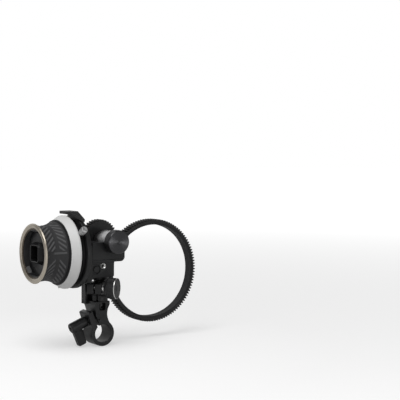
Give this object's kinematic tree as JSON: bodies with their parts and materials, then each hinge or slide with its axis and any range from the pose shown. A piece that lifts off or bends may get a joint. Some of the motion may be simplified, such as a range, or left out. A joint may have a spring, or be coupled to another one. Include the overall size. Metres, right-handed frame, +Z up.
{
  "type": "follow focus unit",
  "caption": "Rod-mounted follow focus: swivelling clamp base, gearbox with driven focus gear, dished rubber handwheel with white marking ring and hard stops, and a toothed lens ring.",
  "frame": {"origin": "centre of the 15 mm rod clamp's bore, in the middle of the clamp's width", "axes": "+Y along the rod towards the front of the lens, +X from the handwheel towards the lens, +Z up"},
  "size_m": [0.1647, 0.0645, 0.1136],
  "materials": {
    "black_anodised": "satin",
    "black_clamp": "satin",
    "black_knob": "turned satin",
    "steel": "satin",
    "black_steel": "black oxide",
    "satin_aluminium": "satin",
    "champagne": "polished",
    "bronze": "plain",
    "gear_black": "moulded",
    "gear_steel": "cut",
    "grip_rubber": "moulded",
    "liner_rubber": "moulded",
    "white_plastic": "matte",
    "dish_black": "polished",
    "damper_felt": "felt"
  },
  "bodies": {
    "base": {"rod_clamp_body": "black_clamp", "thread_lock_screw": "black_steel", "swivel_collar": "black_clamp", "collar_nut": "steel", "swivel_stop_plate": "black_clamp", "stop_plate_screws": "black_steel"},
    "clamp_handle": {"clamp_lever": "black_clamp", "clamp_stud": "steel", "lever_end_screw": "black_steel"},
    "swivel_lock": {"swivel_knob": "black_knob", "swivel_knob_screw": "steel", "swivel_washer": "steel"},
    "swivel": {"post_bush": "black_steel"},
    "gearbox": {"swivel_post": "black_steel", "post_foot_screw": "black_steel", "gearbox_housing": "black_anodised", "gearbox_base": "black_anodised", "base_plug": "steel", "base_screws": "black_steel", "side_plate": "black_anodised", "plate_screws": "black_steel", "stop_hub": "black_anodised", "hub_screws": "black_steel", "index_pointer": "black_anodised", "pointer_screws": "black_steel", "shaft_sleeve": "satin_aluminium", "drive_bush_rear": "bronze", "drive_bush_front": "bronze", "input_bush_left": "bronze", "input_bush_right": "bronze"},
    "handwheel": {"input_shaft": "steel", "input_gear": "gear_steel", "wheel_hub": "dish_black", "rubber_grip": "grip_rubber", "bezel_ring": "champagne", "crank_socket": "dish_black", "marking_ring": "white_plastic", "wheel_stop_pin": "steel", "wheel_nut": "steel", "damping_washer": "damper_felt"},
    "stop_a": {"stop_ring_a": "black_anodised"},
    "stop_a_screw": {"stop_screw_a": "satin_aluminium"},
    "stop_b": {"stop_ring_b": "black_anodised"},
    "stop_b_screw": {"stop_screw_b": "satin_aluminium"},
    "drive": {"drive_shaft": "steel", "output_gear": "gear_steel", "drive_gear": "gear_black", "drive_clips": "black_steel"},
    "gear_knob": {"gear_lock_knob": "black_knob", "gear_drawbar": "steel"},
    "lens_ring": {"lens_gear_ring": "gear_black", "ring_liner": "liner_rubber"}
  },
  "joints": [
    {"name": "clamp_handle_turn", "type": "hinge", "parent": "base", "child": "clamp_handle", "pos_m": [-0.00486, 0, 0.01313], "axis": [-0.9379, 0, -0.3469], "range_deg": [0, 150]},
    {"name": "swivel_lock_turn", "type": "hinge", "parent": "base", "child": "swivel_lock", "pos_m": [-0.00735, -0.00817, 0.039], "axis": [0.6428, -0.766, 0], "range_deg": [0, 270]},
    {"name": "swivel_turn", "type": "hinge", "parent": "base", "child": "swivel", "pos_m": [0, -0.002, 0.0432], "axis": [0, 0, 1], "range_deg": [-28, 28]},
    {"name": "height_slide", "type": "slide", "parent": "swivel", "child": "gearbox", "axis": [0, 0, 1], "range_m": [0, 0.008]},
    {"name": "handwheel_turn", "type": "hinge", "parent": "gearbox", "child": "handwheel", "pos_m": [0, -0.0039, 0.0696], "axis": [1, 0, 0], "range_deg": [-117.9, 117.9]},
    {"name": "stop_a_turn", "type": "hinge", "parent": "gearbox", "child": "stop_a", "pos_m": [0, -0.0039, 0.0696], "axis": [1, 0, 0], "range_deg": [0, 100]},
    {"name": "stop_b_turn", "type": "hinge", "parent": "gearbox", "child": "stop_b", "pos_m": [0, -0.0039, 0.0696], "axis": [1, 0, 0], "range_deg": [-100, 0]},
    {"name": "stop_a_screw_turn", "type": "hinge", "parent": "stop_a", "child": "stop_a_screw", "pos_m": [-0.0326, -0.02877, 0.08638], "axis": [0, -0.829, 0.5592], "range_deg": [0, 360]},
    {"name": "stop_b_screw_turn", "type": "hinge", "parent": "stop_b", "child": "stop_b_screw", "pos_m": [-0.0311, 0.02037, 0.08723], "axis": [0, 0.809, 0.5878], "range_deg": [0, 360]},
    {"name": "drive_turn", "type": "hinge", "parent": "gearbox", "child": "drive", "pos_m": [0.004, 0, 0.0776], "axis": [0, 1, 0], "range_deg": [-118.9, 118.9]},
    {"name": "gear_knob_turn", "type": "hinge", "parent": "drive", "child": "gear_knob", "pos_m": [0.004, 0, 0.0776], "axis": [0, -1, 0], "range_deg": [0, 270]},
    {"name": "lens_ring_turn", "type": "hinge", "parent": "gearbox", "child": "lens_ring", "pos_m": [0.05632, 0, 0.04824], "axis": [0, 1, 0], "range_deg": [-45, 45]}
  ],
  "couplings": [
    {"joint": "drive_turn", "follows": "handwheel_turn", "ratio": 1},
    {"joint": "lens_ring_turn", "follows": "handwheel_turn", "ratio": -0.36364}
  ]
}
